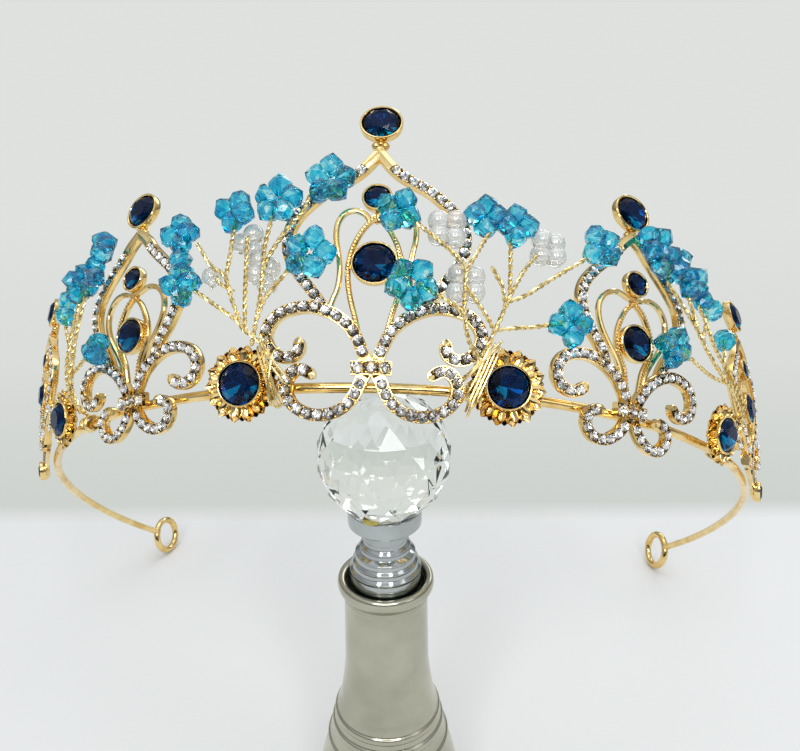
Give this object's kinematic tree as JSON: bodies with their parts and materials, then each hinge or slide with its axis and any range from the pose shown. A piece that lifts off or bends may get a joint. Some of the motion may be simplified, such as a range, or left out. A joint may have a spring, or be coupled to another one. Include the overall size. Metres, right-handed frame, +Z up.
{
  "type": "beaded tiara on a ball-topped display stand",
  "caption": "Gold wire tiara with scrolled rhinestone panels, blue stones, leaf rosettes and sprays of aqua bicone and pearl beads, resting on a crystal ball stand.",
  "frame": {"origin": "middle of the underside of the stand's foot, on the table", "axes": "+X to the viewer's right, +Y to the back, +Z up"},
  "size_m": [0.178, 0.1199, 0.1474],
  "materials": {
    "gold": "polished yellow gold plate",
    "blue_gem": "deep blue faceted glass",
    "aqua_bead": "aqua faceted glass",
    "pearl": "off-white pearl",
    "crystal": "clear faceted glass",
    "chrome": "polished chrome",
    "nickel": "brushed nickel"
  },
  "bodies": {
    "root": {"band": "gold", "beads_far_left_a": "aqua_bead", "beads_far_left_b": "aqua_bead", "beads_far_left_c": "aqua_bead", "beads_far_right_a": "aqua_bead", "beads_far_right_b": "aqua_bead", "beads_far_right_c": "aqua_bead", "beads_far_right_d": "aqua_bead", "beads_left_a": "aqua_bead", "beads_left_b": "aqua_bead", "beads_left_c": "aqua_bead", "beads_left_d": "aqua_bead", "beads_left_e": "aqua_bead", "beads_right_i": "aqua_bead", "beads_right_j": "aqua_bead", "beads_right_k": "aqua_bead", "beads_right_l": "aqua_bead", "beads_right_m": "aqua_bead", "centre_gem_finial": "blue_gem", "centre_gem_large": "blue_gem", "centre_gem_small": "blue_gem", "centre_panel": "gold", "crystal_ball": "crystal", "end_left_gem_finial": "blue_gem", "end_left_gem_large": "blue_gem", "end_left_gem_low": "blue_gem", "end_left_gem_small": "blue_gem", "end_panel_left": "gold", "end_panel_right": "gold", "end_right_gem_finial": "blue_gem", "end_right_gem_large": "blue_gem", "end_right_gem_low": "blue_gem", "end_right_gem_small": "blue_gem", "mid_left_gem_finial": "blue_gem", "mid_left_gem_large": "blue_gem", "mid_left_gem_small": "blue_gem", "mid_panel_left": "gold", "mid_panel_right": "gold", "mid_right_gem_finial": "blue_gem", "mid_right_gem_large": "blue_gem", "mid_right_gem_small": "blue_gem", "pearls_left_a": "pearl", "pearls_left_b": "pearl", "pearls_right_n": "pearl", "pearls_right_o": "pearl", "pearls_right_p": "pearl", "post": "nickel", "rosette_far_left": "gold", "rosette_far_left_gem": "blue_gem", "rosette_far_right": "gold", "rosette_far_right_gem": "blue_gem", "rosette_left": "gold", "rosette_left_gem": "blue_gem", "rosette_right": "gold", "rosette_right_gem": "blue_gem", "stopper": "chrome", "wire_spray_far_left": "gold", "wire_spray_far_right": "gold", "wire_spray_left": "gold", "wire_spray_right": "gold"}
  },
  "joints": []
}
